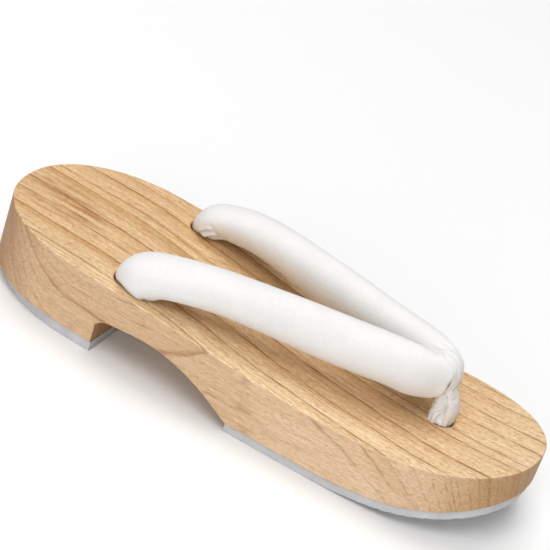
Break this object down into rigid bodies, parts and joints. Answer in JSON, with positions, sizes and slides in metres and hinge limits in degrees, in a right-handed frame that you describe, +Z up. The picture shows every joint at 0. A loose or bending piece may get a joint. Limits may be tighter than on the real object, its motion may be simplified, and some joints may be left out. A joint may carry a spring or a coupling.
{
  "type": "geta sandal",
  "caption": "Wooden geta sandal with a heel block, hollow arch and turned-up toe, rubber pads under it, padded white fabric straps in a V and a toe loop that goes into the board.",
  "frame": {"origin": "on the floor, under the middle of the sandal's length and width", "axes": "+X towards the toe, +Y towards the wearer's left, +Z up"},
  "size_m": [0.24, 0.085, 0.0563],
  "materials": {
    "wood": "bare, finely sanded pale wood with straight grain",
    "rubber": "matt light grey",
    "fabric": "matt white, finely woven and padded"
  },
  "bodies": {
    "root": {"base_board": "wood", "heel_pad": "rubber", "forefoot_pad": "rubber", "strap_upper": "fabric", "toe_loop": "fabric"}
  },
  "joints": []
}
